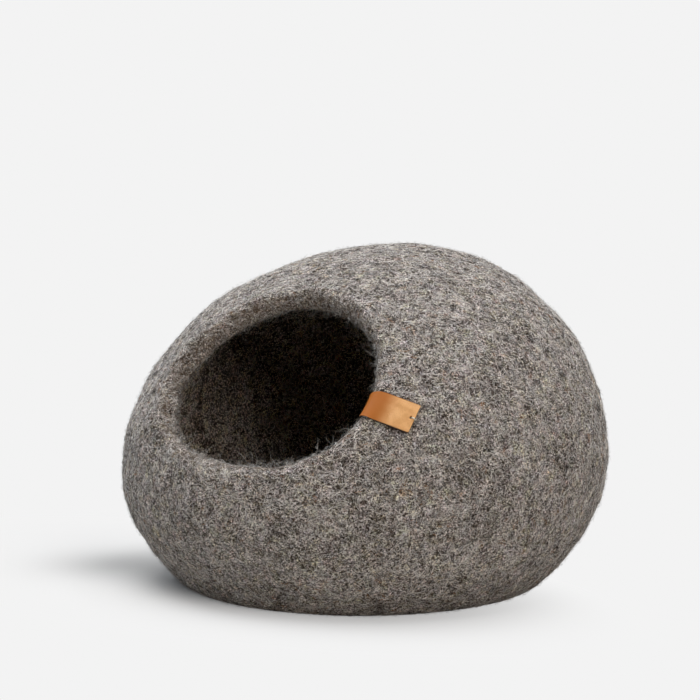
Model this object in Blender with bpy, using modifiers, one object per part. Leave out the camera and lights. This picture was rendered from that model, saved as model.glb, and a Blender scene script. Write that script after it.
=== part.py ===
"""A felted wool cat cave: one seamless hollow of thick felt that stands on its own flat foot, with a
slanting round entrance whose edge is rolled inwards, and a plain leather strip folded over that edge.

Metres, +Z up, -Y is the front. The origin is under the middle of the cave, on the floor.

The felt is laid out on a chart, like a map of the globe seen from above its pole. A place on the chart
is (across, along) in degrees: its distance from (0, 0) is how far down it lies from the crown, and its
bearing is the way it faces, with -along to the front and +across to the right (+X).
"""

import math
from collections import namedtuple

import bmesh
import bpy
from mathutils import Matrix, Vector

OBJECT_NAME = "felt_cat_cave"

# The dome: a half ellipsoid above its waist and a deeper one below, pressed flat on the floor
WAIST_RADIUS = 0.243
WAIST_HEIGHT = 0.1295
CROWN_RISE = 0.2085  # from the waist to the crown
BELLY_DEPTH = 0.189  # how deep the lower half would reach without the floor
FOOT_SOFTNESS = 0.010  # the height over which the wall turns into the flat foot
FELT_THICKNESS = 0.0085
MIDDLE_SHIFT = Vector((0.0012, 0.0, 0.0))  # brings the middle of the whole box over the origin

# The cave leans back. Each is how far back the middle of a level lies from the middle of the waist
LEAN_STRAIGHT = 0.027
LEAN_CROWN_CURVED = 0.030
LEAN_FOOT_CURVED = 0.011

# Felting by hand leaves it uneven: soft bulges, and dents where the height is negative
Bulge = namedtuple("Bulge", "name facing_deg down_deg spread_deg height")
BULGES = [
    Bulge("left flank", -57.0, 85.0, 35.0, 0.005),
    Bulge("left shoulder", -57.0, 40.0, 22.0, 0.002),
    Bulge("right shoulder", 123.0, 60.0, 25.0, -0.0065),
    Bulge("front of the foot", -10.0, 122.0, 22.0, -0.006),
]

# The entrance: an oval on the chart, with its upper edge a little flat
ENTRANCE_DOWN = 62.0
ENTRANCE_ACROSS = 0.8
ENTRANCE_HALF_WIDTH = 38.9
ENTRANCE_HALF_LENGTH = 27.3
FLAT_TURN = -49.0
FLAT_SPREAD = 31.0
FLAT_SHARE = 0.034

# The rolled lip, in a section across the entrance's edge
LIP_RADIUS = 0.013
LIP_TURN = math.radians(100)
CUT_EDGE_ROUNDING = 0.0036

# The leather strip
TAB_WIDTH = 0.0295
TAB_THICKNESS = 0.002
TAB_OUTER_LENGTH = 0.032  # from the crest of the lip
TAB_INNER_LENGTH = 0.030
TAB_CORNER = 0.002
TAB_EDGE_ROUNDING = 0.0004
TAB_GAP = 0.0005  # between flat facets this leaves at least 0.3 mm of air
TAB_LIFT = 0.0015  # how far the free end of the outer leg stands off the felt
TAB_TURN = math.radians(82.5)  # where it crosses the lip, turning right from the top of the entrance
TAB_SLANT = -0.045  # it is sewn on a little askew: the shift along the lip for each length of run

# How finely it is cut into faces
COLUMNS = 64
SKIN_RINGS = 24
LIP_RINGS = 6
TAB_OUTER_STEPS = 6
TAB_EDGE_STEPS = 6
TAB_INNER_STEPS = 5
CUT_EDGE_STEPS = 3
SLIGHT = 1e-3  # the step for slopes, in radians or as a share
NEWTON_STEPS = 5
SHARP = math.radians(60)  # edges that bend more than this are rounded
SMOOTH = math.radians(40)  # and faces that meet at less than this are shaded as one

# Finish
FELT_COLOUR = (0.20, 0.185, 0.17)
FELT_ROUGHNESS = 0.95
LEATHER_COLOUR = (0.60, 0.33, 0.14)
LEATHER_ROUGHNESS = 0.55


def direction(across_deg, along_deg):
    """The straight way out of the cave's middle towards a place on the chart."""
    down = math.radians(math.hypot(across_deg, along_deg))
    facing = math.atan2(across_deg, -along_deg)
    level = math.sin(down)
    return Vector((level * math.sin(facing), -level * math.cos(facing), math.cos(down)))


def skin_point(across_deg, along_deg):
    """The outer skin of the felt at a place on the chart."""
    way = direction(across_deg, along_deg)
    if way.z > 0:
        height = WAIST_HEIGHT + CROWN_RISE * way.z
        level = way.z
        lean = LEAN_STRAIGHT * level + LEAN_CROWN_CURVED * level**2
    else:
        height = pressed_flat(WAIST_HEIGHT + BELLY_DEPTH * way.z)
        level = height / WAIST_HEIGHT - 1
        lean = LEAN_STRAIGHT * level + LEAN_FOOT_CURVED * level**2
    point = Vector((WAIST_RADIUS * way.x, WAIST_RADIUS * way.y + lean, height))
    fade = min(1.0, height / (2 * FOOT_SOFTNESS))
    return point + way * fade * unevenness(way) + MIDDLE_SHIFT


def pressed_flat(height):
    """A height above the floor, where what would lie below the floor is flat on it."""
    if height > FOOT_SOFTNESS:
        return height
    if height < -FOOT_SOFTNESS:
        return 0.0
    return (height + FOOT_SOFTNESS) ** 2 / (4 * FOOT_SOFTNESS)


def unevenness(way):
    """How far the skin is pushed out of the even dome, in one direction from the middle."""
    total = 0.0
    for bulge in BULGES:
        facing = math.radians(bulge.facing_deg)
        chart = Vector((math.sin(facing), -math.cos(facing))) * bulge.down_deg
        apart = math.degrees(way.angle(direction(chart.x, chart.y), 0.0))
        total += bulge.height * math.exp(-((apart / bulge.spread_deg) ** 2))
    return total


def foot_deg():
    """How far down on the chart the skin has come to the floor for good."""
    return 180 - math.degrees(math.acos((WAIST_HEIGHT + FOOT_SOFTNESS) / BELLY_DEPTH))


def skin_at(turn, share):
    """The skin from the entrance, share 0, to the foot, share 1, at a turn to the right from the top."""
    from_flat = math.remainder(turn - math.radians(FLAT_TURN), math.tau)
    oval = 1 - FLAT_SHARE * math.exp(-((math.degrees(from_flat) / FLAT_SPREAD) ** 2))
    entrance_across = ENTRANCE_ACROSS + ENTRANCE_HALF_WIDTH * oval * math.sin(turn)
    entrance_along = -ENTRANCE_DOWN + ENTRANCE_HALF_LENGTH * oval * math.cos(turn)
    across = entrance_across * (1 - share) + foot_deg() * math.sin(turn) * share
    along = entrance_along * (1 - share) + foot_deg() * math.cos(turn) * share
    return skin_point(across, along)


def lip_frame(turn):
    """The lip's crest at a turn: a point, and the ways along it, into the entrance and inwards."""
    crest = skin_at(turn, 0.0)
    along = (skin_at(turn + SLIGHT, 0.0) - skin_at(turn - SLIGHT, 0.0)).normalized()
    inward = crest - skin_at(turn, SLIGHT)
    inward = (inward - along * inward.dot(along)).normalized()
    return crest, along, inward, along.cross(inward).normalized()


def lip_point(turn, bend, radius):
    """A point at a radius from the middle of the lip's roll, bent from 0 at the crest to LIP_TURN."""
    crest, _, inward, through = lip_frame(turn)
    middle = crest + through * LIP_RADIUS
    return middle + (inward * math.sin(bend) - through * math.cos(bend)) * radius


def material(name, colour, roughness):
    made = bpy.data.materials.new(name)
    made.use_nodes = True
    shader = made.node_tree.nodes["Principled BSDF"]
    shader.inputs["Base Color"].default_value = (*colour, 1.0)
    shader.inputs["Roughness"].default_value = roughness
    shader.inputs["Metallic"].default_value = 0.0
    return made


def add_object(name, mesh, finish, collection):
    """Put a mesh in the scene as one named part, smooth but for its sharp edges."""
    mesh.shade_smooth()
    mesh.set_sharp_from_angle(angle=SMOOTH)
    mesh.materials.append(finish)
    part = bpy.data.objects.new(name, mesh)
    collection.objects.link(part)
    return part


def lofted(name, rows, closed):
    """A mesh of quads between rows of points. Closed rows are rings, and the last one is filled."""
    shape = bmesh.new()
    grid = [[shape.verts.new(point) for point in row] for row in rows]
    width = len(rows[0])
    for near, far in zip(grid, grid[1:]):
        for k in range(width if closed else width - 1):
            following = (k + 1) % width
            shape.faces.new((near[k], near[following], far[following], far[k]))
    if closed:
        shape.faces.new(grid[-1])
    mesh = bpy.data.meshes.new(name)
    shape.to_mesh(mesh)
    shape.free()
    return mesh


def thicken(part, thickness, offset, rounding, segments):
    """Give an open surface its thickness and round the edges that leaves."""
    wall = part.modifiers.new("thickness", "SOLIDIFY")
    wall.thickness = thickness
    wall.offset = offset
    wall.use_even_offset = True
    edge = part.modifiers.new("rounded edges", "BEVEL")
    edge.width = rounding
    edge.segments = segments
    edge.limit_method = "ANGLE"
    edge.angle_limit = SHARP


def tab_place(sideways, run):
    """The turn, share and way out of the skin under the strip: so far sideways and so far from the lip."""
    crest, along, inward, _ = lip_frame(TAB_TURN)
    aim = crest + along * (sideways + TAB_SLANT * run) - inward * run
    turn, share = TAB_TURN, 0.0
    for _ in range(NEWTON_STEPS):
        here = skin_at(turn, share)
        by_turn = (skin_at(turn + SLIGHT, share) - here) / SLIGHT
        by_share = (skin_at(turn, share + SLIGHT) - here) / SLIGHT
        flat = Matrix(
            ((by_turn.dot(along), by_share.dot(along)), (by_turn.dot(inward), by_share.dot(inward)))
        )
        miss = Vector(((aim - here).dot(along), (aim - here).dot(inward)))
        change = flat.inverted() @ miss
        turn, share = turn + change.x, share + change.y
    return turn, share, by_turn.cross(by_share).normalized()


def tab_turn(sideways):
    """The turn at which the strip crosses the lip's crest, so far sideways of its middle."""
    crest, along, _, _ = lip_frame(TAB_TURN)
    turn = TAB_TURN
    for _ in range(NEWTON_STEPS):
        here = skin_at(turn, 0.0)
        slope = (skin_at(turn + SLIGHT, 0.0) - here).dot(along) / SLIGHT
        turn += (sideways - (here - crest).dot(along)) / slope
    return turn


def tab_row(sideways):
    """The middle of the leather's thickness along the strip, from its outer end to its inner one."""
    crest, _, inward, _ = lip_frame(TAB_TURN)
    clear = TAB_GAP + TAB_THICKNESS / 2
    turn = tab_turn(sideways)
    fold = (crest - skin_at(turn, 0.0)).dot(inward)
    rounding = corner_cut(sideways)
    row = []
    for step in range(TAB_OUTER_STEPS):
        part_way = 1 - step / TAB_OUTER_STEPS
        run = fold + (TAB_OUTER_LENGTH - rounding - fold) * part_way
        at_turn, share, out = tab_place(sideways, run)
        row.append(skin_at(at_turn, share) + out * (clear + TAB_LIFT * part_way**2))
    for step in range(LIP_RINGS + 1):
        row.append(lip_point(turn, LIP_TURN * step / LIP_RINGS, LIP_RADIUS + clear))
    _, _, inward, through = lip_frame(turn)
    middle = lip_point(turn, LIP_TURN, LIP_RADIUS - FELT_THICKNESS / 2)
    out = inward * math.sin(LIP_TURN) - through * math.cos(LIP_TURN)
    onward = inward * math.cos(LIP_TURN) + through * math.sin(LIP_TURN)
    for step in range(1, TAB_EDGE_STEPS):
        swing = math.pi * step / TAB_EDGE_STEPS
        way = out * math.cos(swing) + onward * math.sin(swing)
        row.append(middle + way * (FELT_THICKNESS / 2 + clear))
    for step in range(LIP_RINGS, -1, -1):
        row.append(lip_point(turn, LIP_TURN * step / LIP_RINGS, LIP_RADIUS - FELT_THICKNESS - clear))
    for step in range(1, TAB_INNER_STEPS + 1):
        run = fold + (TAB_INNER_LENGTH - fold) * step / TAB_INNER_STEPS
        at_turn, share, out = tab_place(sideways, run)
        row.append(skin_at(at_turn, share) - out * (FELT_THICKNESS + clear))
    return row


def corner_cut(sideways):
    """How much shorter the outer leg is at one place of its width, where its corners are rounded."""
    into_corner = max(0.0, abs(sideways) - (TAB_WIDTH / 2 - TAB_CORNER))
    return TAB_CORNER - math.sqrt(max(0.0, TAB_CORNER**2 - into_corner**2))


def leather_tab(collection):
    """The strip, folded over the lip, with an outer and an inner leg."""
    half = TAB_WIDTH / 2
    right = [half / 2, half - TAB_CORNER, half - TAB_CORNER / 4, half]
    stations = [-sideways for sideways in reversed(right)] + [0.0] + right
    mesh = lofted("leather_tab", [tab_row(sideways) for sideways in stations], closed=False)
    finish = material("leather", LEATHER_COLOUR, LEATHER_ROUGHNESS)
    strip = add_object("leather_tab", mesh, finish, collection)
    thicken(strip, TAB_THICKNESS, 0.0, TAB_EDGE_ROUNDING, 1)


def felt_shell(collection):
    """The cave: one open surface from the lip's cut edge over the dome to the flat foot, thickened."""
    turns = [math.tau * k / COLUMNS for k in range(COLUMNS)]
    rows = []
    for step in range(LIP_RINGS, 0, -1):
        rows.append([lip_point(turn, LIP_TURN * step / LIP_RINGS, LIP_RADIUS) for turn in turns])
    for step in range(SKIN_RINGS + 1):
        rows.append([skin_at(turn, step / SKIN_RINGS) for turn in turns])
    mesh = lofted("felt_shell", rows, closed=True)
    finish = material("felt", FELT_COLOUR, FELT_ROUGHNESS)
    shell = add_object("felt_shell", mesh, finish, collection)
    thicken(shell, FELT_THICKNESS, -1.0, CUT_EDGE_ROUNDING, CUT_EDGE_STEPS)


def main():
    for old in list(bpy.data.objects):
        bpy.data.objects.remove(old)
    collection = bpy.data.collections.new(OBJECT_NAME)
    bpy.context.scene.collection.children.link(collection)
    felt_shell(collection)
    leather_tab(collection)


main()
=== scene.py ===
"""Looks of the felted wool cat cave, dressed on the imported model.

The felt is rebuilt from the same sizes as its solid, with finer faces, a hand-felted unevenness and a full
round on the edge of the entrance. Wool fibres lie on it and stand off it as flat ribbons, and curly hairs
stand on its lip as closed strands. The leather strip is rebuilt the same way, with burnt cut edges, a
punched hole and its thread.

Metres, +Z up, -Y is the front. A place on the felt is (across, along) in degrees on a chart of the dome, like
a map of the globe seen from above its pole, or (turn, share): the turn round the entrance from its top, and
the share of the way from the entrance, 0, to the foot, 1.
"""

import math
from collections import namedtuple

import bpy
import numpy as np
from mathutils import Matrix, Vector
from mathutils.bvhtree import BVHTree


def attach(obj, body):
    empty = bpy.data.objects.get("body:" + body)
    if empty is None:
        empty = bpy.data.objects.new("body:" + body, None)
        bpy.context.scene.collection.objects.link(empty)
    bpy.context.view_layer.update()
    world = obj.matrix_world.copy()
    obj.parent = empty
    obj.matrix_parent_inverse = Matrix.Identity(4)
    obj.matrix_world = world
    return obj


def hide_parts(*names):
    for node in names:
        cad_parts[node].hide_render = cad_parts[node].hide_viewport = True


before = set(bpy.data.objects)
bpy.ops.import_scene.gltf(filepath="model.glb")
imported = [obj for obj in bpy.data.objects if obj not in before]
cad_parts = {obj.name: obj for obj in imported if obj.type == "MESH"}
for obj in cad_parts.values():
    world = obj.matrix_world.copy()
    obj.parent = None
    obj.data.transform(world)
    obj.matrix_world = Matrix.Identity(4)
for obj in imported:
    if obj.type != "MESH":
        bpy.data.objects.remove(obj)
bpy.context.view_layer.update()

# The felt's sizes, as in its solid
WAIST_RADIUS = 0.243
WAIST_HEIGHT = 0.1295
CROWN_RISE = 0.2085
BELLY_DEPTH = 0.189
FOOT_SOFTNESS = 0.010
FELT_THICKNESS = 0.0085
MIDDLE_SHIFT = np.array([0.0012, 0.0, 0.0])
LEAN_STRAIGHT = 0.027
LEAN_CROWN_CURVED = 0.030
LEAN_FOOT_CURVED = 0.011
Bulge = namedtuple("Bulge", "name facing_deg down_deg spread_deg height")
BULGES = [
    Bulge("left flank", -57.0, 85.0, 35.0, 0.005),
    Bulge("left shoulder", -57.0, 40.0, 22.0, 0.002),
    Bulge("right shoulder", 123.0, 60.0, 25.0, -0.0065),
    Bulge("front of the foot", -10.0, 122.0, 22.0, -0.006),
]
ENTRANCE_DOWN = 62.0
ENTRANCE_ACROSS = 0.8
ENTRANCE_HALF_WIDTH = 38.9
ENTRANCE_HALF_LENGTH = 27.3
FLAT_TURN = -49.0
FLAT_SPREAD = 31.0
FLAT_SHARE = 0.034
LIP_RADIUS = 0.013
LIP_TURN = math.radians(100)

# The leather strip's sizes, as in its solid
TAB_WIDTH = 0.0295
TAB_THICKNESS = 0.002
TAB_OUTER_LENGTH = 0.032
TAB_INNER_LENGTH = 0.030
TAB_CORNER = 0.002
TAB_GAP = 0.0005
TAB_LIFT = 0.0015
TAB_TURN = math.radians(82.5)
TAB_SLANT = -0.045

# What the strip has in the scene alone, and how finely it is cut into faces
TAB_ROUNDING = 0.00035
TAB_OUTER_STEPS, TAB_LIP_STEPS, TAB_EDGE_STEPS, TAB_INNER_STEPS = 26, 14, 12, 14
TAB_STATIONS = (0.08, 0.17, 0.26, 0.36, 0.46, 0.56, 0.66, 0.76)  # as shares of the way to its long edge
TAB_CORNER_STATIONS = range(0, 91, 15)  # in degrees round the corner
HOLE_FROM_END = 0.0036
HOLE_RADIUS = 0.0014
HOLE_SIDES = 24
THREAD_RADIUS = 0.0006
FOLD_SHADE_RUN = 0.0072  # how far from the lip the painted shade of the fold is half as dark as at the fold
FOLD_SHADE_FADE = 0.0030
HANDLED_SHARE = 0.45
HANDLED_WIDTH = 0.0012
SCORCHED_WIDTH = 0.00045

# The step over which slopes of the skin are measured, and how often a place under the strip is improved
SLIGHT = 1e-3
NEWTON_STEPS = 5

# How finely the felt is cut into faces. Its rows run from the floor inside, over the lip, to the foot
COLUMNS = 336
TURNS = np.arange(COLUMNS) * math.tau / COLUMNS
OUTER_RINGS = 124
OUTER_CROWDING = 1.1  # above 1, so the rings lie closer together by the entrance
INNER_RINGS = 44
LIP_RINGS = 12
EDGE_RINGS = 7
FLOOR_RINGS = 10
INNER_ROWS = FLOOR_RINGS - 1 + INNER_RINGS + LIP_RINGS + 1
CREST_ROW = INNER_ROWS + EDGE_RINGS - 1 + LIP_RINGS
OUTER_WOOL_FROM = INNER_ROWS - 4
INNER_WOOL_FROM = FLOOR_RINGS + 6
LIP_WOOL_FROM, LIP_WOOL_TO = INNER_ROWS - 2, CREST_ROW - 5

# Hand-felted unevenness, in waves about so long and high
Waves = namedtuple("Waves", "length height seed")
UNEVEN = [
    Waves(0.120, 0.00110, 1),
    Waves(0.050, 0.00070, 2),
    Waves(0.022, 0.00040, 3),
    Waves(0.011, 0.00030, 4),
]
WAVE_COUNT = 40
WAVE_SPREAD = (0.7, 1.4)
CALM_RADIUS = 0.030  # the felt stays even this near to the leather strip, which lies close on it

# The lip stands up in a low ridge where it faces the upper left
RIDGE_TURN = math.radians(300)
RIDGE_SPREAD = math.radians(62)
RIDGE_HEIGHT = 0.0015
RIDGE_WIDTH = 0.0038
RIDGE_ROWS_IN = 3  # from the lip's crest

# Wool fibres. Lift is how high the middle of one lies over the felt, share the part of the felt that carries
# them, and curl how much one turns at each of its steps, in radians
Fibres = namedtuple("Fibres", "name count length width lift curl steps seed share colour")
LYING = [
    Fibres("dark_fibres", 47000, 0.0110, 0.00034, 0.00030, 0.55, 3, 11, 1.0, (0.034, 0.026, 0.021)),
    Fibres("grey_fibres", 26000, 0.0110, 0.00032, 0.00045, 0.60, 3, 12, 1.0, (0.230, 0.197, 0.170)),
    Fibres("pale_fibres", 48500, 0.0120, 0.00028, 0.00060, 0.65, 3, 13, 1.0, (0.800, 0.735, 0.670)),
    Fibres("dark_tufts", 9000, 0.0070, 0.00050, 0.00060, 0.70, 3, 16, 0.035, (0.030, 0.021, 0.016)),
    Fibres("wisps", 4500, 0.0260, 0.00020, 0.00150, 0.38, 6, 19, 1.0, (0.620, 0.580, 0.530)),
    Fibres("rust_tufts", 3000, 0.0055, 0.00045, 0.00070, 0.70, 3, 17, 0.011, (0.300, 0.150, 0.065)),
]
STANDING = Fibres("fuzz", 36000, 0.0048, 0.00021, 0.0, 0.55, 3, 14, 1.0, (0.540, 0.540, 0.530))
LIP = Fibres("lip_fibres", 5200, 0.0100, 0.00034, 0.00060, 0.60, 3, 18, 1.0, (0.150, 0.108, 0.076))
CURLS = Fibres("entrance_curls", 900, 0.0150, 0.00018, 0.0, 0.85, 10, 15, 1.0, (0.480, 0.450, 0.410))
LYING_LENGTHS = (0.6, 1.4)  # the least and the most of a kind, as shares of its length
FUZZ_LENGTHS = (0.4, 1.6)
CURL_LENGTHS = (0.35, 1.5)
WIDTHS = (0.7, 1.3)
CURL_WIDTHS = (0.7, 1.4)
LIFTS = (0.3, 1.7)
INSIDE_DENSITY = 0.2  # of lying fibres, against that outside
LIP_FUZZ = 0.3  # more fuzz on the lip than elsewhere
STRAYING = 0.95  # of lying fibres from the level, in radians
TIPPING = 0.45  # of lying fibres about their own length, in radians
SUNK = 0.12  # how far the ends lie under the skin, as a share of the lift
UPRIGHT = (0.25, 1.25)  # how steeply fuzz leaves the skin, in radians
FLATTENING = 0.55  # how much less steep it is after each step, as a share of that
CURLS_FROM = math.radians(35)  # the part of the lip's roll that carries curls, from its crest
CURLS_TO = LIP_TURN + 0.6
CURLS_RISE = (0.1, 0.9)
DROOP = 0.06
TWIST = 0.25
FLOOR_CLEARANCE = 0.0002
ROOT_DEPTH = 0.0002
TAB_MARGIN = 0.003  # no fibre grows so near to the strip
TAB_DEPTH = 0.05  # nor under it, so deep and so far from the strip's fold
TAB_NEAR = 0.06

# The wool's middle colour, and how fast each of red, green and blue grows with its brightness
WOOL = (0.253, 0.207, 0.174)
WOOL_SLOPES = (0.93, 1.0, 1.06)

# The camera, from the photograph's vanishing lines and outline
CAMERA_AZIMUTH = 32.86
CAMERA_ELEVATION = 11.48
CAMERA_DISTANCE = 2.0
CAMERA_AIM = Vector((-0.0404, 0.0285, 0.2288))
CAMERA_LENS = 99.8
CAMERA_SENSOR = 36.0

# The stage. A lamp stands aside of the camera, to its right, by so many degrees
Lamp = namedtuple("Lamp", "name strength softness aside elevation colour")
LAMPS = [
    Lamp("front", 0.98, 28.0, 28.0, 23.0, (1.05, 0.98, 0.92)),
    Lamp("left_back", 0.52, 40.0, -115.0, 42.0, (0.86, 0.98, 1.13)),
    Lamp("top", 2.80, 50.0, 0.0, 88.0, (0.97, 0.99, 1.02)),
    Lamp("back", 2.50, 60.0, -160.0, 60.0, (0.94, 0.99, 1.05)),
]
PAPER = (0.896, 0.896, 0.896)
FLOOR_MIDDLE = (-0.130, -0.070, 0.0)  # the middle of the shadow, which the floor shows before it melts away
FLOOR_TURN = 83.0
FLOOR_RADII = (0.245, 0.471)
FLOOR_FADE = (0.20, 1.0)
FLOOR_SIZE = 8.0
PaintedLight = namedtuple("PaintedLight", "place inner outer share")
NEAR_PAINTED_LIGHT = PaintedLight((-0.015, -0.040, 0.0), 0.15, 0.26, 1.35)  # painted light: the floor is paler under the foot
Shade = namedtuple("Shade", "place radius share")
LEFT_PAINTED_SHADOW = Shade((-0.251, -0.091, 0.0), 0.085, 0.58)  # painted shadow: the floor is darker to the foot's left


# ---------------------------------------------------------------- the felt's form


def direction(across_deg, along_deg):
    """The straight ways out of the cave's middle towards places on the chart."""
    down = np.radians(np.hypot(across_deg, along_deg))
    facing = np.arctan2(across_deg, -along_deg)
    level = np.sin(down)
    return np.stack([level * np.sin(facing), -level * np.cos(facing), np.cos(down)], -1)


def pressed_flat(height):
    """Heights above the floor, where what would lie below the floor is flat on it."""
    fold_shade_and_wear = (np.clip(height, -FOOT_SOFTNESS, FOOT_SOFTNESS) + FOOT_SOFTNESS) ** 2 / (4 * FOOT_SOFTNESS)
    return np.where(height > FOOT_SOFTNESS, height, fold_shade_and_wear)


def bulging(way):
    """How far the skin is pushed out of the even dome, in directions from the middle."""
    total = np.zeros(way.shape[:-1])
    for bulge in BULGES:
        facing = math.radians(bulge.facing_deg)
        across = math.sin(facing) * bulge.down_deg
        along = -math.cos(facing) * bulge.down_deg
        apart = np.degrees(np.arccos(np.clip(way @ direction(across, along), -1, 1)))
        total += bulge.height * np.exp(-((apart / bulge.spread_deg) ** 2))
    return total


def skin_point(across_deg, along_deg):
    """The outer skin of the felt at places on the chart."""
    way = direction(across_deg, along_deg)
    up = way[..., 2] > 0
    below = pressed_flat(WAIST_HEIGHT + BELLY_DEPTH * way[..., 2])
    height = np.where(up, WAIST_HEIGHT + CROWN_RISE * way[..., 2], below)
    level = np.where(up, way[..., 2], below / WAIST_HEIGHT - 1)
    lean = LEAN_STRAIGHT * level + np.where(up, LEAN_CROWN_CURVED, LEAN_FOOT_CURVED) * level**2
    point = np.stack([WAIST_RADIUS * way[..., 0], WAIST_RADIUS * way[..., 1] + lean, height], -1)
    fade = np.minimum(1.0, height / (2 * FOOT_SOFTNESS))
    return point + way * (fade * bulging(way))[..., None] + MIDDLE_SHIFT


def skin_at(turn, share):
    """The skin from the entrance, share 0, to the foot, share 1, at turns to the right from the top."""
    turn, share = np.broadcast_arrays(np.asarray(turn, float), np.asarray(share, float))
    from_flat = np.degrees(np.angle(np.exp(1j * (turn - math.radians(FLAT_TURN)))))
    oval = 1 - FLAT_SHARE * np.exp(-((from_flat / FLAT_SPREAD) ** 2))
    foot_deg = 180 - math.degrees(math.acos((WAIST_HEIGHT + FOOT_SOFTNESS) / BELLY_DEPTH))
    entrance_across = ENTRANCE_ACROSS + ENTRANCE_HALF_WIDTH * oval * np.sin(turn)
    entrance_along = -ENTRANCE_DOWN + ENTRANCE_HALF_LENGTH * oval * np.cos(turn)
    across = entrance_across * (1 - share) + foot_deg * np.sin(turn) * share
    along = entrance_along * (1 - share) + foot_deg * np.cos(turn) * share
    return skin_point(across, along)


def unit(vectors):
    return vectors / np.maximum(np.linalg.norm(vectors, axis=-1, keepdims=True), 1e-12)


def dot(a, b):
    return (a * b).sum(-1, keepdims=True)


def skin_out(turn, share):
    """The ways straight out of the skin."""
    by_turn = skin_at(turn + SLIGHT, share) - skin_at(turn - SLIGHT, share)
    by_share = skin_at(turn, share + SLIGHT) - skin_at(turn, share - SLIGHT)
    return unit(np.cross(by_turn, by_share))


def lip_frame(turn):
    """The lip's crest at turns: points, and the ways along it, into the entrance and inwards."""
    crest = skin_at(turn, 0.0)
    along = unit(skin_at(turn + SLIGHT, 0.0) - skin_at(turn - SLIGHT, 0.0))
    inward = crest - skin_at(turn, SLIGHT)
    inward = unit(inward - along * dot(along, inward))
    return crest, along, inward, unit(np.cross(along, inward))


def lip_point(turn, bend, radius):
    """Points at a radius from the middle of the lip's roll, and the ways out there."""
    crest, _, inward, through = lip_frame(turn)
    out = inward * math.sin(bend) - through * math.cos(bend)
    return crest + through * LIP_RADIUS + out * radius, out


def waves(points, length, seed):
    """A smooth random unevenness of about that wavelength at each point, mostly between -1 and 1."""
    random = np.random.default_rng(seed)
    ways = unit(random.normal(size=(WAVE_COUNT, 3))) * math.tau / length
    ways *= random.uniform(*WAVE_SPREAD, (WAVE_COUNT, 1))
    phases = random.uniform(0, math.tau, WAVE_COUNT)
    return np.cos(points @ ways.T + phases).sum(-1) / math.sqrt(WAVE_COUNT)


def unevenness(points):
    """How far hand felting leaves the skin in or out, calm by the strip and flat on the floor."""
    total = sum(w.height * waves(points, w.length, w.seed) for w in UNEVEN)
    middle = skin_at(TAB_TURN, 0.0)
    calm = 1 - np.exp(-((np.linalg.norm(points - middle, axis=-1) / CALM_RADIUS) ** 4))
    return total * calm * np.clip(points[..., 2] / (2 * FOOT_SOFTNESS), 0, 1)


def felt_rows():
    """Closed rows of points from the middle of the floor inside, over the lip, to the middle of the foot."""
    rows, ways = [], []

    def add(points, out):
        rows.append(points)
        ways.append(out)

    foot = skin_at(TURNS, 1.0)
    middle = foot.mean(0)
    down = np.tile([0.0, 0.0, -1.0], (COLUMNS, 1))
    for step in range(1, FLOOR_RINGS):
        spread = step / FLOOR_RINGS
        add(middle + (foot - middle) * spread - down * FELT_THICKNESS, -down)
    for step in range(INNER_RINGS, 0, -1):
        share = step / INNER_RINGS
        out = skin_out(TURNS, share)
        add(skin_at(TURNS, share) - out * FELT_THICKNESS, -out)
    for step in range(LIP_RINGS + 1):
        points, out = lip_point(TURNS, LIP_TURN * step / LIP_RINGS, LIP_RADIUS - FELT_THICKNESS)
        add(points, -out)
    centre, out = lip_point(TURNS, LIP_TURN, LIP_RADIUS - FELT_THICKNESS / 2)
    _, _, inward, through = lip_frame(TURNS)
    onward = inward * math.cos(LIP_TURN) + through * math.sin(LIP_TURN)
    for step in range(1, EDGE_RINGS):
        swing = math.pi * step / EDGE_RINGS
        way = onward * math.sin(swing) - out * math.cos(swing)
        add(centre + way * FELT_THICKNESS / 2, way)
    for step in range(LIP_RINGS, -1, -1):
        add(*lip_point(TURNS, LIP_TURN * step / LIP_RINGS, LIP_RADIUS))
    for step in range(1, OUTER_RINGS + 1):
        share = (step / OUTER_RINGS) ** OUTER_CROWDING
        add(skin_at(TURNS, share), skin_out(TURNS, share))
    for step in range(FLOOR_RINGS - 1, 0, -1):
        add(middle + (foot - middle) * step / FLOOR_RINGS, down)
    return np.array(rows), np.array(ways), middle


def add_mesh(name, points, faces, materials):
    mesh = bpy.data.meshes.new(name)
    mesh.from_pydata(points.tolist(), [], faces)
    mesh.update()
    mesh.shade_smooth()
    for finish in materials:
        mesh.materials.append(finish)
    piece = bpy.data.objects.new(name, mesh)
    bpy.context.scene.collection.objects.link(piece)
    return piece


def ridge(rows):
    """How high the ridge stands on the rows of the felt's outside, from the edge of the lip on."""
    outer = rows[CREST_ROW - LIP_RINGS :]
    off = np.linalg.norm(outer - rows[CREST_ROW - RIDGE_ROWS_IN], axis=-1)
    there = np.exp(-(((TURNS - RIDGE_TURN + math.pi) % math.tau - math.pi) / RIDGE_SPREAD) ** 2)
    return RIDGE_HEIGHT * np.exp(-((off / RIDGE_WIDTH) ** 2)) * there


def mark(piece, name, values):
    """Give a piece's points a number each, which its material reads by name."""
    made = piece.data.attributes.new(name, "FLOAT", "POINT")
    made.data.foreach_set("value", values.astype(np.float32))


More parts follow.
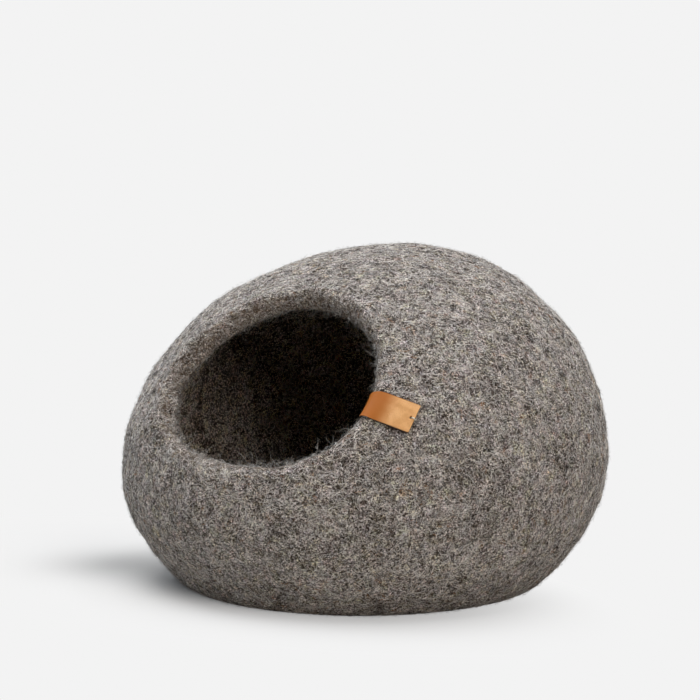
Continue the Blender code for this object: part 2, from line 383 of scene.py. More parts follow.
def felt(finish):
    """The whole cave as one closed felt skin. Its points are marked 1 inside, falling to 0 over the lip."""
    rows, ways, middle = felt_rows()
    rows[CREST_ROW - LIP_RINGS :] += ways[CREST_ROW - LIP_RINGS :] * ridge(rows)[..., None]
    rows = rows + ways * unevenness(rows)[..., None]
    rows[..., 2] = np.maximum(rows[..., 2], 0.0)
    count = len(rows)
    points = np.concatenate([rows.reshape(-1, 3), [middle + [0, 0, FELT_THICKNESS], middle]])
    low = np.arange(count - 1)[:, None] * COLUMNS
    here = np.arange(COLUMNS)
    following = (here + 1) % COLUMNS
    quads = np.stack([low + here, low + following, low + COLUMNS + following, low + COLUMNS + here], -1)
    faces = quads.reshape(-1, 4).tolist()
    inside, outside, last = count * COLUMNS, count * COLUMNS + 1, (count - 1) * COLUMNS
    for k in range(COLUMNS):
        faces.append((int(following[k]), k, inside))
        faces.append((last + k, last + int(following[k]), outside))
    piece = add_mesh("felt", points, faces, [finish])
    lip_rows = EDGE_RINGS + LIP_RINGS
    hidden = np.zeros(len(points))
    hidden[: INNER_ROWS * COLUMNS] = 1.0
    fade = np.linspace(1.0, 0.0, lip_rows + 1)[:-1]
    hidden[INNER_ROWS * COLUMNS : (INNER_ROWS + lip_rows) * COLUMNS] = np.repeat(fade, COLUMNS)
    hidden[inside] = 1.0
    mark(piece, "inner", hidden)
    return piece


# ---------------------------------------------------------------- wool fibres


def strands(name, paths, widths, ups, finish):
    """One mesh of closed three-sided strands that taper to a point at both ends.
    paths is (strands, points, 3), widths is each one's width, and ups the way each one's first side faces."""
    count, length, _ = paths.shape
    ahead = np.empty_like(paths)
    ahead[:, 1:-1] = paths[:, 2:] - paths[:, :-2]
    ahead[:, 0] = paths[:, 1] - paths[:, 0]
    ahead[:, -1] = paths[:, -1] - paths[:, -2]
    ahead = unit(ahead)
    side = unit(np.cross(ahead, ups))
    top = np.cross(side, ahead)
    rings = []
    for step in range(1, length - 1):
        taper = math.sin(math.pi * step / (length - 1)) ** 0.5
        for corner in range(3):
            angle = math.tau * corner / 3
            way = top[:, step] * math.cos(angle) + side[:, step] * math.sin(angle)
            rings.append(paths[:, step] + way * (widths * taper / 2)[:, None])
    each = np.concatenate([paths[:, :1], np.stack(rings, 1), paths[:, -1:]], 1)
    size = each.shape[1]
    pattern = []
    for corner in range(3):
        after = (corner + 1) % 3
        pattern.append((0, 1 + after, 1 + corner))
        for step in range(length - 3):
            a, b = 1 + 3 * step, 4 + 3 * step
            pattern.append((a + corner, a + after, b + after))
            pattern.append((a + corner, b + after, b + corner))
        pattern.append((size - 1, size - 4 + corner, size - 4 + after))
    faces = (np.arange(count)[:, None, None] * size + np.array(pattern)).reshape(-1, 3)
    return add_mesh(name, each.reshape(-1, 3), faces.tolist(), [finish])


def ribbons(name, paths, widths, ups, finish):
    """One mesh of flat fibres that taper to a point at both ends, each with its face turned up.
    paths is (fibres, points, 3), widths is each one's width, and ups the way out of the felt."""
    count = len(paths)
    ahead = np.gradient(paths, axis=1)
    side = unit(np.cross(ahead, ups)) * widths[:, None, None] / 2
    rings = np.stack([paths + side, paths - side], 2)[:, 1:-1].reshape(count, -1, 3)
    each = np.concatenate([paths[:, :1], rings, paths[:, -1:]], 1)
    size = each.shape[1]
    first = np.arange(count)[:, None] * size
    faces = (first + [0, 1, 2]).tolist() + (first + [size - 2, size - 3, size - 1]).tolist()
    for step in range(1, size - 3, 2):
        faces += (first + [step, step + 2, step + 3, step + 1]).tolist()
    return add_mesh(name, each.reshape(-1, 3), faces, [finish])


def roots(piece, count, random, density):
    """Random places on a piece's first faces, in proportion to their density, and the ways out there."""
    mesh = piece.data
    corners = np.empty(len(mesh.loops), np.int32)
    mesh.loops.foreach_get("vertex_index", corners)
    quads = corners[: len(density) * 4].reshape(-1, 4)
    points = np.empty(len(mesh.vertices) * 3)
    mesh.vertices.foreach_get("co", points)
    points = points.reshape(-1, 3)
    normal = np.cross(points[quads[:, 2]] - points[quads[:, 0]], points[quads[:, 3]] - points[quads[:, 1]])
    weight = np.linalg.norm(normal, axis=1) * density
    picked = random.choice(len(quads), count, p=weight / weight.sum())
    u, v = random.random((2, count, 1))
    a, b, c, d = (points[quads[picked, k]] for k in range(4))
    place = a * (1 - u) * (1 - v) + b * u * (1 - v) + c * u * v + d * (1 - u) * v
    return place, unit(normal[picked])


def on_skin(tree, points):
    """The nearest places on the felt, and the ways out of it there."""
    places = np.empty_like(points)
    ways = np.empty_like(points)
    for k, point in enumerate(points):
        place, way, _, _ = tree.find_nearest(Vector(point))
        places[k] = place
        ways[k] = way
    return places, ways


def clear_of_tab(points):
    """True where a fibre is not under the leather strip."""
    middle = skin_at(TAB_TURN, 0.0)
    _, along, inward, through = lip_frame(np.array(TAB_TURN))
    off = points - middle
    sideways = np.abs(off @ along) < TAB_WIDTH / 2 + TAB_MARGIN
    lengthways = off @ inward > -TAB_OUTER_LENGTH - TAB_MARGIN
    near = (off @ through < TAB_DEPTH) & (np.linalg.norm(off, axis=-1) < TAB_NEAR)
    return ~(sideways & lengthways & near)


def woolly_faces(cave):
    """Which four-sided faces of the felt lie outside, inside and on the lip, 1 or 0, in rings from the floor.
    The outside takes in the lip's edge, the inside keeps off the floor's corner, and the lip stops short of
    its crest."""
    quads = (len(cave.data.polygons) - 2 * COLUMNS) // COLUMNS
    ring = np.repeat(np.arange(quads), COLUMNS)
    outside = (ring >= OUTER_WOOL_FROM) & (ring < quads - FLOOR_RINGS + 1)
    inside = (ring >= INNER_WOOL_FROM) & (ring < OUTER_WOOL_FROM)
    lip = (ring >= LIP_WOOL_FROM) & (ring < LIP_WOOL_TO)
    return outside.astype(float), inside.astype(float), lip.astype(float)


def planted(kind, piece, density):
    """The roots of one kind of fibres, in clusters where only a share of the faces carries them."""
    random = np.random.default_rng(kind.seed)
    density = density * (random.random(len(density)) < kind.share)
    place, up = roots(piece, kind.count, random, density)
    keep = clear_of_tab(place)
    return random, place[keep], up[keep], int(keep.sum())


def lying(kind, piece, tree, density, finish):
    """Fibres felted flat into the skin, each bent a little along its way."""
    random, place, up, count = planted(kind, piece, density)
    level = unit(np.cross(up, [0.0, 0.0, 1.0]) + 1e-6)
    heading = random.normal(0.0, STRAYING, count)[:, None]
    ahead = level * np.cos(heading) + np.cross(up, level) * np.sin(heading)
    step = (kind.length * random.uniform(*LYING_LENGTHS, count) / kind.steps)[:, None]
    bend = random.normal(0.0, kind.curl, count)[:, None]
    lift = (kind.lift * random.uniform(*LIFTS, count))[:, None]
    path, ups = [place], [up]
    for _ in range(kind.steps):
        place, up = on_skin(tree, place + ahead * step)
        ahead = unit(ahead - up * dot(ahead, up))
        ahead = ahead * np.cos(bend) + np.cross(up, ahead) * np.sin(bend)
        path.append(place)
        ups.append(up)
    path, ups = np.stack(path, 1), np.stack(ups, 1)
    rise = np.sin(np.linspace(0, math.pi, kind.steps + 1))
    path = path + ups * (lift * (rise - SUNK))[..., None]
    path[..., 2] = np.maximum(path[..., 2], FLOOR_CLEARANCE)
    width = kind.width * random.uniform(*WIDTHS, count)
    tipped = random.normal(0.0, TIPPING, count)[:, None, None]
    ups = ups * np.cos(tipped) + np.cross(np.gradient(path, axis=1), ups) / step[:, None] * np.sin(tipped)
    return ribbons(kind.name, path, width, ups, finish)


def standing(kind, piece, density, finish):
    """Fine fuzz: short hairs that stand off the skin and bend over."""
    random, place, up, count = planted(kind, piece, density)
    level = unit(np.cross(up, random.normal(size=(count, 3))))
    step = (kind.length * random.uniform(*FUZZ_LENGTHS, count) / kind.steps)[:, None]
    tilt = random.uniform(*UPRIGHT, count)[:, None]
    bend = random.normal(0.0, kind.curl, count)[:, None]
    path = [place - up * ROOT_DEPTH]
    for k in range(kind.steps):
        steep = tilt * (1 - FLATTENING * k)
        ahead = level * np.cos(steep) + up * np.sin(steep)
        path.append(path[-1] + ahead * step)
        level = unit(level + np.cross(up, level) * bend)
    path = np.stack(path, 1)
    path[..., 2] = np.maximum(path[..., 2], FLOOR_CLEARANCE)
    width = kind.width * random.uniform(*WIDTHS, count)
    ups = np.repeat(unit(random.normal(size=(count, 3)))[:, None], kind.steps + 1, 1)
    return ribbons(kind.name, path, width, ups, finish)


def curls(kind, finish):
    """Long curly hairs on the rolled edge of the entrance, which twist and droop as they go."""
    random = np.random.default_rng(kind.seed)
    turn = random.uniform(0, math.tau, kind.count)
    bend = random.uniform(CURLS_FROM, CURLS_TO, kind.count)
    crest, along, inward, through = lip_frame(turn)
    out = inward * np.sin(bend)[:, None] - through * np.cos(bend)[:, None]
    place = crest + through * LIP_RADIUS + out * (LIP_RADIUS - ROOT_DEPTH)
    keep = clear_of_tab(place)
    place, out, along = place[keep], out[keep], along[keep]
    count = len(place)
    side = np.cross(out, along)
    turned = random.uniform(0, math.tau, count)[:, None]
    level = along * np.cos(turned) + side * np.sin(turned)
    ahead = unit(level + out * random.uniform(*CURLS_RISE, count)[:, None])
    axis = unit(np.cross(ahead, random.normal(size=(count, 3))))
    swing = random.normal(0.0, kind.curl, count)[:, None]
    step = (kind.length * random.uniform(*CURL_LENGTHS, count) / kind.steps)[:, None]
    path = [place]
    for _ in range(kind.steps):
        path.append(path[-1] + ahead * step)
        ahead = unit(ahead * np.cos(swing) + np.cross(axis, ahead) * np.sin(swing) - out * DROOP)
        axis = unit(axis + random.normal(0.0, TWIST, (count, 3)))
    path = np.stack(path, 1)
    width = kind.width * random.uniform(*CURL_WIDTHS, count)
    ups = np.repeat(unit(np.cross(axis, ahead))[:, None], kind.steps + 1, 1)
    return strands(kind.name, path, width, ups, finish)


# ---------------------------------------------------------------- the leather strip


def tab_place(sideways, run):
    """The turn, share and way out of the skin under the strip: so far sideways and so far from the lip."""
    crest, along, inward, _ = lip_frame(np.array(TAB_TURN))
    aim = crest + along * (sideways + TAB_SLANT * run) - inward * run
    turn, share = TAB_TURN, 0.0
    for _ in range(NEWTON_STEPS):
        here = skin_at(turn, share)
        by_turn = (skin_at(turn + SLIGHT, share) - here) / SLIGHT
        by_share = (skin_at(turn, share + SLIGHT) - here) / SLIGHT
        flat = np.array([[by_turn @ along, by_share @ along], [by_turn @ inward, by_share @ inward]])
        miss = np.array([(aim - here) @ along, (aim - here) @ inward])
        change = np.linalg.solve(flat, miss)
        turn, share = turn + change[0], share + change[1]
    return skin_at(turn, share), unit(np.cross(by_turn, by_share))


def tab_turn(sideways):
    """The turn at which the strip crosses the lip's crest, so far sideways of its middle."""
    crest, along, _, _ = lip_frame(np.array(TAB_TURN))
    turn = TAB_TURN
    for _ in range(NEWTON_STEPS):
        here = skin_at(turn, 0.0)
        slope = (skin_at(turn + SLIGHT, 0.0) - here) @ along / SLIGHT
        turn += (sideways - (here - crest) @ along) / slope
    return turn


def corner_cut(sideways):
    """How much shorter the outer leg is at one place of its width, where its corners are rounded."""
    into_corner = max(0.0, abs(sideways) - (TAB_WIDTH / 2 - TAB_CORNER))
    return TAB_CORNER - math.sqrt(max(0.0, TAB_CORNER**2 - into_corner**2))


def tab_row(sideways):
    """The middle of the leather's thickness along the strip, from its outer end to its inner one."""
    crest, _, inward, _ = lip_frame(np.array(TAB_TURN))
    clear = TAB_GAP + TAB_THICKNESS / 2
    turn = np.array(tab_turn(sideways))
    fold = (crest - skin_at(turn, 0.0)) @ inward
    rounding = corner_cut(sideways)
    row = []
    for step in range(TAB_OUTER_STEPS):
        part_way = 1 - step / TAB_OUTER_STEPS
        run = fold + (TAB_OUTER_LENGTH - rounding - fold) * part_way
        place, out = tab_place(sideways, run)
        row.append(place + out * (clear + TAB_LIFT * part_way**2))
    for step in range(TAB_LIP_STEPS + 1):
        row.append(lip_point(turn, LIP_TURN * step / TAB_LIP_STEPS, LIP_RADIUS + clear)[0])
    _, _, inward, through = lip_frame(turn)
    middle, out = lip_point(turn, LIP_TURN, LIP_RADIUS - FELT_THICKNESS / 2)
    onward = inward * math.cos(LIP_TURN) + through * math.sin(LIP_TURN)
    for step in range(1, TAB_EDGE_STEPS):
        swing = math.pi * step / TAB_EDGE_STEPS
        way = out * math.cos(swing) + onward * math.sin(swing)
        row.append(middle + way * (FELT_THICKNESS / 2 + clear))
    for step in range(TAB_LIP_STEPS // 2, -1, -1):
        bend = LIP_TURN * step / (TAB_LIP_STEPS // 2)
        row.append(lip_point(turn, bend, LIP_RADIUS - FELT_THICKNESS - clear)[0])
    for step in range(1, TAB_INNER_STEPS + 1):
        run = fold + (TAB_INNER_LENGTH - fold) * step / TAB_INNER_STEPS
        place, out = tab_place(sideways, run)
        row.append(place - out * (FELT_THICKNESS + clear))
    return row


def leather_strip(face, edge):
    """The strip, folded over the lip, with burnt cut edges, and the place near its outer end where its hole
    is to be punched.
    """
    half = TAB_WIDTH / 2
    right = [half * share for share in TAB_STATIONS]
    right += [half - TAB_CORNER * (1 - math.sin(math.radians(a))) for a in TAB_CORNER_STATIONS]
    stations = [-sideways for sideways in reversed(right)] + [0.0] + right
    rows = np.array([tab_row(sideways) for sideways in stations])
    count, length, _ = rows.shape
    low = np.arange(count - 1)[:, None] * length
    here = np.arange(length - 1)
    quads = np.stack([low + here, low + here + 1, low + length + here + 1, low + length + here], -1)
    piece = add_mesh("leather_strip", rows.reshape(-1, 3), quads.reshape(-1, 4).tolist(), [face, edge])
    wall = piece.modifiers.new("thickness", "SOLIDIFY")
    wall.thickness = TAB_THICKNESS
    wall.offset = 0.0
    wall.use_even_offset = True
    wall.material_offset_rim = 1
    rounded = piece.modifiers.new("rounded edges", "BEVEL")
    rounded.width = TAB_ROUNDING
    rounded.segments = 2
    rounded.material = 1
    rounded.limit_method = "ANGLE"
    rounded.angle_limit = math.radians(60)
    place, out = tab_place(0.0, TAB_OUTER_LENGTH - HOLE_FROM_END)
    hole = place + out * (TAB_GAP + TAB_THICKNESS / 2 + TAB_LIFT)
    return piece, hole, out


def mark_shade_and_wear(piece):
    """Mark where the strip's leather is darker: painted shade where it is bent over the lip, handled by an
    edge, or scorched at one.
    """
    points = np.array([v.co for v in piece.data.vertices])
    crest, along, inward, _ = lip_frame(np.array(TAB_TURN))
    run = (crest - points) @ inward
    # Painted shade over the fold, where the strip bends over the lip into the entrance.
    fold_shade_and_wear = 1 / (1 + np.exp((run - FOLD_SHADE_RUN) / FOLD_SHADE_FADE))
    from_edge = TAB_WIDTH / 2 - np.abs((points - crest) @ along - TAB_SLANT * run)
    handled = HANDLED_SHARE * np.exp(-np.abs(from_edge) / HANDLED_WIDTH)
    mark(piece, "fold_shade_and_wear", np.maximum(fold_shade_and_wear, handled))
    mark(piece, "scorched", np.exp(-((from_edge / SCORCHED_WIDTH) ** 2)))


def cutter(place, out):
    bpy.ops.mesh.primitive_cylinder_add(vertices=HOLE_SIDES, radius=HOLE_RADIUS, depth=4 * TAB_THICKNESS)
    tool = bpy.context.object
    tool.name = "hole_cutter"
    tool.location = place
    tool.rotation_euler = Vector(out).to_track_quat("Z", "Y").to_euler()
    return tool


def applied(piece):
    """Replace a piece's mesh by what its modifiers make of it."""
    depsgraph = bpy.context.evaluated_depsgraph_get()
    made = bpy.data.meshes.new_from_object(piece.evaluated_get(depsgraph))
    piece.modifiers.clear()
    piece.data = made


def punched(piece, place, out):
    tool = cutter(place, out)
    cut = piece.modifiers.new("hole", "BOOLEAN")
    cut.operation = "DIFFERENCE"
    cut.object = tool
    applied(piece)
    bpy.data.objects.remove(tool)


def thread(place, out, finish):
    """The cream thread of the stitch: out of the hole, over the strip's end and into the felt."""
    _, _, inward, _ = lip_frame(np.array(TAB_TURN))
    away = unit(-inward - out * (-inward @ out))
    side = np.cross(out, away)
    top, radius = TAB_THICKNESS / 2, THREAD_RADIUS
    route = [
        (0.0003, -0.0014, 0.0),
        (0.0006, 0.2 * top, 0.0),
        (0.0012, top + radius, 0.0001),
        (0.0022, top + radius * 1.15, 0.0002),
        (HOLE_FROM_END - 0.0002, top + radius, 0.0001),
        (HOLE_FROM_END + radius * 1.3, 0.3 * top, 0.0),
        (HOLE_FROM_END + radius * 1.4, -top, -0.0001),
        (HOLE_FROM_END + radius * 0.8, -top - 0.0022, -0.0002),
    ]
    curve = bpy.data.curves.new("stitch_thread", "CURVE")
    curve.dimensions = "3D"
    line = curve.splines.new("NURBS")
    line.points.add(len(route) - 1)
    for point, (ahead, up, across) in zip(line.points, route):
        at = place + away * ahead + out * up + side * across
        point.co = (*at, 1.0)
    line.use_endpoint_u = True
    line.order_u = 4
    line.resolution_u = 8
    curve.bevel_depth = radius
    curve.bevel_resolution = 3
    curve.use_fill_caps = True
    curve.materials.append(finish)
    piece = bpy.data.objects.new("stitch_thread", curve)
    bpy.context.scene.collection.objects.link(piece)
    return piece


# ---------------------------------------------------------------- materials


class Nodes:
    """Short ways to add nodes to one material."""

    def __init__(self, name):
        self.finish = bpy.data.materials.new(name)
        self.finish.use_nodes = True
        self.tree = self.finish.node_tree
        self.shader = self.tree.nodes["Principled BSDF"]
        self.place = self.add("ShaderNodeTexCoord").outputs["Object"]

    def add(self, kind, **settings):
        node = self.tree.nodes.new(kind)
        for key, value in settings.items():
            setattr(node, key, value)
        return node

    def link(self, output, socket):
        if isinstance(output, (int, float, tuple)):
            socket.default_value = output
        else:
            self.tree.links.new(output, socket)

    def vector(self, operation, place, other=None):
        """The output node of some vector arithmetic on a place."""
        node = self.add("ShaderNodeVectorMath", operation=operation)
        self.link(place, node.inputs[0])
        if other is not None:
            node.inputs[1].default_value = other
        return node

    def noise(self, scale, detail=2.0, distortion=0.0, vector=None):
        node = self.add("ShaderNodeTexNoise")
        self.link(vector or self.place, node.inputs["Vector"])
        for key, value in (("Scale", scale), ("Detail", detail), ("Distortion", distortion)):
            node.inputs[key].default_value = value
        return node.outputs["Fac"]

    def swings(self, scale, distortion, vector=None):
        """Noise stretched so that it mostly swings between -1 and 1."""
        return self.ranged(self.noise(scale, 2.0, distortion, vector), 0.0, 1.0, -4.0, 4.0)

    def specks(self, scale):
        """Cells so many to the metre, each of a chance value from 0 to 1."""
        node = self.add("ShaderNodeTexVoronoi")
        self.link(self.place, node.inputs["Vector"])
        node.inputs["Scale"].default_value = scale
        apart = self.add("ShaderNodeSeparateColor")
        self.link(node.outputs["Color"], apart.inputs[0])
        return apart.outputs[0]

    def math(self, operation, *values):
        node = self.add("ShaderNodeMath", operation=operation)
        for value, socket in zip(values, node.inputs):
            self.link(value, socket)
        return node.outputs[0]

    def ranged(self, value, low, high, to_low=0.0, to_high=1.0, smooth=False):
        node = self.add("ShaderNodeMapRange", interpolation_type="SMOOTHSTEP" if smooth else "LINEAR")
        self.link(value, node.inputs["Value"])
        for key, number in zip(("From Min", "From Max", "To Min", "To Max"), (low, high, to_low, to_high)):
            node.inputs[key].default_value = number
        return node.outputs["Result"]

    def lines(self, noise):
        """Thin curly lines of 1, where the noise crosses its middle, over a ground of -1."""
        return self.ranged(self.math("ABSOLUTE", self.math("SUBTRACT", noise, 0.5)), 0.0, 0.08, 1.0, -1.0)

    def ramp(self, value, stops):
        node = self.add("ShaderNodeValToRGB")
        self.link(value, node.inputs["Fac"])
        points = node.color_ramp.elements
        while len(points) < len(stops):
            points.new(0.5)
        for point, (place, colour) in zip(points, stops):
            point.position = place
            point.color = (*colour, 1.0)
        return node.outputs["Color"]

    def mix(self, share, a, b, blend="MIX"):
        node = self.add("ShaderNodeMix", data_type="RGBA", blend_type=blend)
        self.link(share, node.inputs["Factor"])
        for value, socket in ((a, node.inputs["A"]), (b, node.inputs["B"])):
            self.link((*value, 1.0) if isinstance(value, tuple) else value, socket)
        return node.outputs["Result"]

    def bump(self, height, strength, distance, under=None):
        node = self.add("ShaderNodeBump")
        self.link(height, node.inputs["Height"])
        node.inputs["Strength"].default_value = strength
        node.inputs["Distance"].default_value = distance
        if under is not None:
            self.link(under, node.inputs["Normal"])
        return node.outputs["Normal"]

    def attribute(self, name):
        return self.add("ShaderNodeAttribute", attribute_name=name).outputs["Fac"]

    def finished(self, colour, roughness, normal=None, **constants):
        colour = (*colour, 1.0) if isinstance(colour, tuple) else colour
        self.link(colour, self.shader.inputs["Base Color"])
        self.link(roughness, self.shader.inputs["Roughness"])
        if normal is not None:
            self.link(normal, self.shader.inputs["Normal"])
        for key, value in constants.items():
            self.shader.inputs[key.replace("_", " ")].default_value = value
        return self.finish


def felt_finish():
    """Mottled grey-brown wool: soft blotches, tufts, and a fine tangle of pale curls over dark gaps.
    Each layer lightens or darkens the wool by so many stops. Dark wool is browner than pale wool."""
    n = Nodes("felted_wool")
    apart = n.vector("ADD", n.place, (0.37, 0.11, 0.23)).outputs[0]
    hanging = n.vector("MULTIPLY", n.place, (1.0, 1.0, 0.3)).outputs[0]
    curls = n.math(
        "MAXIMUM",
        n.lines(n.noise(200.0, 1.0, 1.4)),
        n.lines(n.noise(270.0, 1.0, 1.2, apart)),
    )
    grain = n.ranged(n.specks(880.0), 0.0, 1.0, -1.0, 1.0)
    tufts = n.swings(170.0, 0.8)
    clumps = n.swings(70.0, 0.6)
    streaks = n.swings(85.0, 0.5, hanging)
    blotches = n.swings(28.0, 0.4, hanging)
    stops = n.math("MULTIPLY", curls, 0.85)
    for layer, amount in ((grain, 2.8), (tufts, 0.38), (clumps, 0.30), (streaks, 0.42), (blotches, 0.46)):
        stops = n.math("MULTIPLY_ADD", layer, amount, stops)
    inside = n.attribute("inner")
    stops = n.math("MULTIPLY", stops, n.math("MULTIPLY_ADD", inside, 0.25, 1.0))
    stops = n.math("MINIMUM", stops, 2.2)
    channels = n.add("ShaderNodeCombineColor")
    for socket, base, slope in zip(channels.inputs, WOOL, WOOL_SLOPES):
        n.link(n.math("MULTIPLY", n.math("POWER", 2.0, n.math("MULTIPLY", stops, slope)), base), socket)
    reds = [
        (0.28, (0.92, 1.00, 1.03)),
        (0.50, (1.00, 1.00, 1.00)),
        (0.66, (1.06, 1.00, 0.97)),
        (0.78, (1.20, 0.97, 0.80)),
    ]
    olives = [
        (0.28, (1.00, 0.97, 1.08)),
        (0.50, (1.00, 1.00, 1.00)),
        (0.72, (1.00, 1.03, 0.84)),
    ]
    wool = n.mix(1.0, channels.outputs[0], n.ramp(n.noise(110.0, 2.0, 0.6), reds), "MULTIPLY")
    wool = n.mix(1.0, wool, n.ramp(n.noise(95.0, 2.0, 0.6, apart), olives), "MULTIPLY")
    # Inside, the wool is made lighter and warmer: partly its own warmer tone, partly painted light for the
    # light that comes in through the entrance.
    wool = n.mix(inside, wool, (1.24, 1.20, 1.15), "MULTIPLY")
    normal = n.bump(clumps, 0.5, 0.0012)
    normal = n.bump(tufts, 0.7, 0.0009, normal)
    normal = n.bump(curls, 0.9, 0.0008, normal)
    normal = n.bump(grain, 0.7, 0.0003, normal)
    n.link(n.mix(inside, wool, (0.55, 0.55, 0.55), "MULTIPLY"), n.shader.inputs["Sheen Tint"])
    return n.finished(wool, 0.95, normal, Sheen_Weight=1.0, Sheen_Roughness=0.4, Specular_IOR_Level=0.15)


def fibre_finish(name, colour):
    n = Nodes(name)
    return n.finished(colour, 0.85, Sheen_Weight=0.2, Specular_IOR_Level=0.2)


def leather_finish():
    """Vegetable-tanned leather: tan, softly clouded, with painted shade where it is bent, darker by its
    handled edges, with fine pores.
    """
    n = Nodes("tan_leather")
    clouds = n.noise(90.0, 3.0, 0.5)
    pores = n.noise(1500.0, 2.0)
    tan = n.ramp(
        n.ranged(clouds, 0.30, 0.72),
        [(0.0, (0.62, 0.310, 0.110)), (0.5, (0.73, 0.390, 0.155)), (1.0, (0.80, 0.450, 0.200))],
    )
    tan = n.mix(n.ranged(pores, 0.50, 0.75, 0.0, 0.45), tan, (0.38, 0.17, 0.06))
    # Painted shade over the fold, and darker by the handled edges.
    tan = n.mix(n.attribute("fold_shade_and_wear"), tan, (0.36, 0.100, 0.003))
    tan = n.mix(n.attribute("scorched"), tan, (0.030, 0.014, 0.008))
    normal = n.bump(pores, 0.25, 0.0003)
    roughness = n.ranged(clouds, 0.3, 0.7, 0.48, 0.62)
    return n.finished(tan, roughness, normal, Specular_IOR_Level=0.2)


def burnt_edge_finish():
    n = Nodes("burnt_leather_edge")
    char = n.noise(900.0, 2.0)
    brown = n.ramp(n.ranged(char, 0.3, 0.7), [(0.0, (0.012, 0.007, 0.005)), (1.0, (0.060, 0.030, 0.016))])
    return n.finished(brown, 0.75, n.bump(char, 0.4, 0.0003))


def thread_finish():
    n = Nodes("waxed_thread")
    twist = n.add("ShaderNodeTexWave", wave_type="BANDS", bands_direction="DIAGONAL")
    n.link(n.place, twist.inputs["Vector"])
    twist.inputs["Scale"].default_value = 900.0
    cream = n.ramp(twist.outputs["Fac"], [(0.0, (0.62, 0.56, 0.42)), (1.0, (0.90, 0.86, 0.74))])
    return n.finished(cream, 0.6, n.bump(twist.outputs["Fac"], 0.5, 0.0002))


# ---------------------------------------------------------------- stage


def facing(azimuth_deg, elevation_deg):
    """The way to something seen at an azimuth and elevation, azimuth 0 being the front."""
    a, e = math.radians(azimuth_deg), math.radians(elevation_deg)
    return Vector((math.sin(a) * math.cos(e), -math.cos(a) * math.cos(e), math.sin(e)))


def floor_painted_light_and_shadow(n):
    """Painted light and shadow on the floor: how much paler or darker than the paper it is, by its place in
    the world.
    """
    spot = n.add("ShaderNodeNewGeometry").outputs["Position"]
    # Painted light: the floor is paler under the foot.
    far = n.vector("DISTANCE", spot, NEAR_PAINTED_LIGHT.place).outputs["Value"]
    painted_light = n.ranged(far, NEAR_PAINTED_LIGHT.inner, NEAR_PAINTED_LIGHT.outer, NEAR_PAINTED_LIGHT.share, 1.0, smooth=True)
    # Painted shadow: the floor is darker to the foot's left.
    far = n.vector("DISTANCE", spot, LEFT_PAINTED_SHADOW.place).outputs["Value"]
    far = n.math("DIVIDE", far, LEFT_PAINTED_SHADOW.radius)
    shade = n.math("POWER", math.e, n.math("MULTIPLY", n.math("MULTIPLY", far, far), -1.0))
    return n.math("MULTIPLY", painted_light, n.math("MULTIPLY_ADD", shade, LEFT_PAINTED_SHADOW.share - 1, 1.0))


def floor_finish():
    """Paper of the pale world's own colour where the lamps reach it, which melts into that world far away."""
    n = Nodes("pale_floor")
    gone = n.ranged(n.vector("LENGTH", n.place).outputs["Value"], *FLOOR_FADE, smooth=True)
    seen = n.add("ShaderNodeLightPath").outputs["Is Camera Ray"]
    falling = sum(
        lamp.strength * math.sin(math.radians(lamp.elevation)) * np.array(lamp.colour) for lamp in LAMPS
    )
    tint = n.add("ShaderNodeVectorMath", operation="SCALE")
    tint.inputs[0].default_value = tuple(np.array(PAPER) * math.pi / falling)
    # The floor's colour carries the painted light and the painted shadow.
    n.link(floor_painted_light_and_shadow(n), tint.inputs["Scale"])
    n.finished(tint.outputs[0], 1.0, Specular_IOR_Level=0.0)
    paper = n.add("ShaderNodeEmission")
    paper.inputs["Color"].default_value = (*PAPER, 1.0)
    fade = n.add("ShaderNodeMixShader")
    n.link(n.math("MULTIPLY", gone, seen), fade.inputs["Fac"])
    n.link(n.shader.outputs[0], fade.inputs[1])
    n.link(paper.outputs[0], fade.inputs[2])
    n.link(fade.outputs[0], n.tree.nodes["Material Output"].inputs["Surface"])
    return n.finish


def stage():
    """A pale floor that melts into a pale world, under soft suns."""
    bpy.ops.mesh.primitive_plane_add(size=FLOOR_SIZE)
    floor = bpy.context.object
    floor.name = "floor"
    floor.location = FLOOR_MIDDLE
    floor.rotation_euler.z = math.radians(FLOOR_TURN)
    floor.scale = (*FLOOR_RADII, 1.0)
    floor.data.materials.append(floor_finish())
    for lamp in LAMPS:
        data = bpy.data.lights.new(lamp.name, "SUN")
        data.energy = lamp.strength
        data.angle = math.radians(lamp.softness)
        data.color = lamp.colour
        back = facing(CAMERA_AZIMUTH + lamp.aside, lamp.elevation)
        thing = bpy.data.objects.new(lamp.name, data)
        thing.rotation_euler = back.to_track_quat("Z", "Y").to_euler()
        bpy.context.scene.collection.objects.link(thing)
    bpy.context.scene.world = pale_world()
    bpy.context.scene.view_settings.view_transform = "Standard"


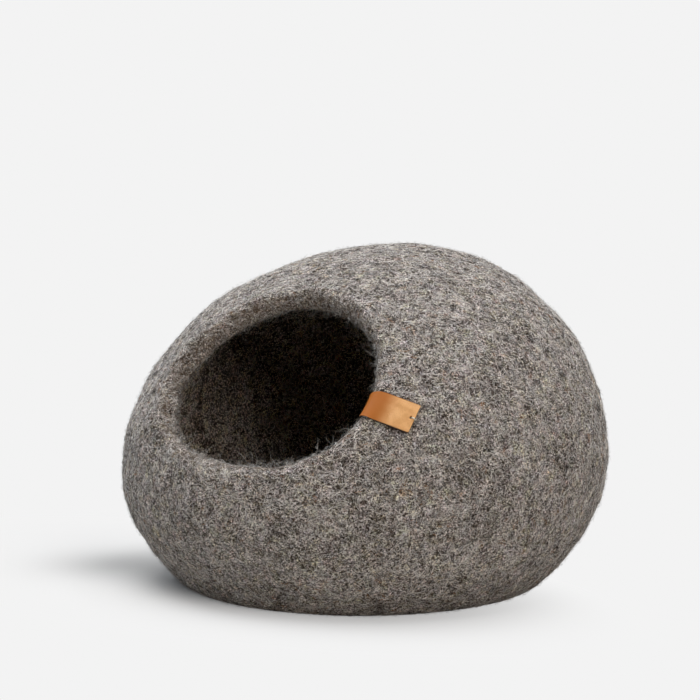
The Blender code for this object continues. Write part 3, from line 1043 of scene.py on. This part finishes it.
def pale_world():
    """A world that the camera sees as pale paper, and that gives no light."""
    world = bpy.data.worlds.new("pale")
    world.use_nodes = True
    tree = world.node_tree
    seen = tree.nodes["Background"]
    seen.inputs["Color"].default_value = (*PAPER, 1.0)
    light = tree.nodes.new("ShaderNodeBackground")
    light.inputs["Strength"].default_value = 0.0
    ray = tree.nodes.new("ShaderNodeLightPath")
    both = tree.nodes.new("ShaderNodeMixShader")
    tree.links.new(ray.outputs["Is Camera Ray"], both.inputs["Fac"])
    tree.links.new(light.outputs[0], both.inputs[1])
    tree.links.new(seen.outputs[0], both.inputs[2])
    tree.links.new(both.outputs[0], tree.nodes["World Output"].inputs["Surface"])
    return world


def camera():
    data = bpy.data.cameras.new("camera")
    data.lens = CAMERA_LENS
    data.sensor_width = CAMERA_SENSOR
    thing = bpy.data.objects.new("camera", data)
    thing.location = facing(CAMERA_AZIMUTH, CAMERA_ELEVATION) * CAMERA_DISTANCE + Vector(MIDDLE_SHIFT)
    thing.rotation_euler = (thing.location - CAMERA_AIM).to_track_quat("Z", "Y").to_euler()
    bpy.context.scene.collection.objects.link(thing)
    bpy.context.scene.camera = thing


def main():
    camera()
    stage()
    cave = felt(felt_finish())
    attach(cave, "root")
    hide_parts("felt_shell")
    tree = BVHTree.FromPolygons([v.co for v in cave.data.vertices], [p.vertices for p in cave.data.polygons])
    outside, inside, lip = woolly_faces(cave)
    for kind in (*LYING, LIP):
        density = lip if kind is LIP else outside + INSIDE_DENSITY * inside
        piece = lying(kind, cave, tree, density, fibre_finish(kind.name, kind.colour))
        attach(piece, "root")
    for piece in (
        standing(STANDING, cave, outside + LIP_FUZZ * lip, fibre_finish(STANDING.name, STANDING.colour)),
        curls(CURLS, fibre_finish(CURLS.name, CURLS.colour)),
    ):
        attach(piece, "root")
    strip, hole, out = leather_strip(leather_finish(), burnt_edge_finish())
    punched(strip, hole, out)
    mark_shade_and_wear(strip)
    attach(strip, "root")
    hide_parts("leather_tab")
    stitch = thread(hole, out, thread_finish())
    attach(stitch, "root")


main()
